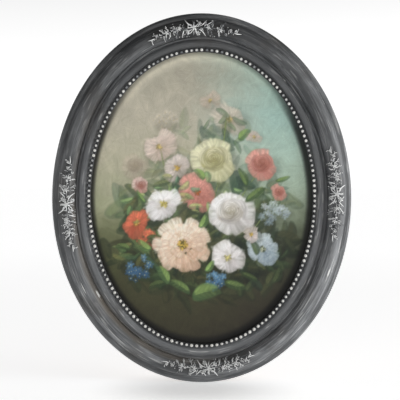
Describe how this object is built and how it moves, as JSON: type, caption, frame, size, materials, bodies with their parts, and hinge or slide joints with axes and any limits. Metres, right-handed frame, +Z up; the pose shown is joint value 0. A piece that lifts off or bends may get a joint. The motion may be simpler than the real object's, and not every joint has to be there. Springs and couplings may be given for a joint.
{
  "type": "oval framed painting",
  "caption": "Oval flower painting in a moulded grey frame with a beaded sight edge and applied sprays of leaves, made to hang from a toothed strip let into its back.",
  "frame": {"origin": "hanging point, on the wall plane behind the middle of the toothed hanger", "axes": "+Z up, along the oval's long axis; the painting faces -Y, so +Y points into the wall; +X is to the right as a viewer sees it"},
  "size_m": [0.4112, 0.0255, 0.5072],
  "materials": {
    "grey_paint": "turned wood in satin blue-grey paint, dry-brushed lighter along its length, bare brown wood at the back",
    "bead_paint": "cast composition, grey paint with the tops brushed silvery white",
    "spray_paint": "cast composition, dark grey in the hollows with the raised parts brushed white",
    "oil_paint": "canvas-covered board with a brushed oil painting of flowers, pale grey-green above and dark olive below",
    "brown_board": "plain brown fibre board",
    "zinc_steel": "thin zinc-plated steel"
  },
  "bodies": {
    "root": {"moulding": "grey_paint", "bead_string": "bead_paint", "spray_top": "spray_paint", "spray_right": "spray_paint", "spray_bottom": "spray_paint", "spray_left": "spray_paint", "painted_panel": "oil_paint", "backing_board": "brown_board", "steel_point_1": "zinc_steel", "steel_point_2": "zinc_steel", "steel_point_3": "zinc_steel", "steel_point_4": "zinc_steel", "steel_point_5": "zinc_steel", "steel_point_6": "zinc_steel", "toothed_hanger": "zinc_steel", "hanger_nail_left": "zinc_steel", "hanger_nail_right": "zinc_steel"}
  },
  "joints": []
}
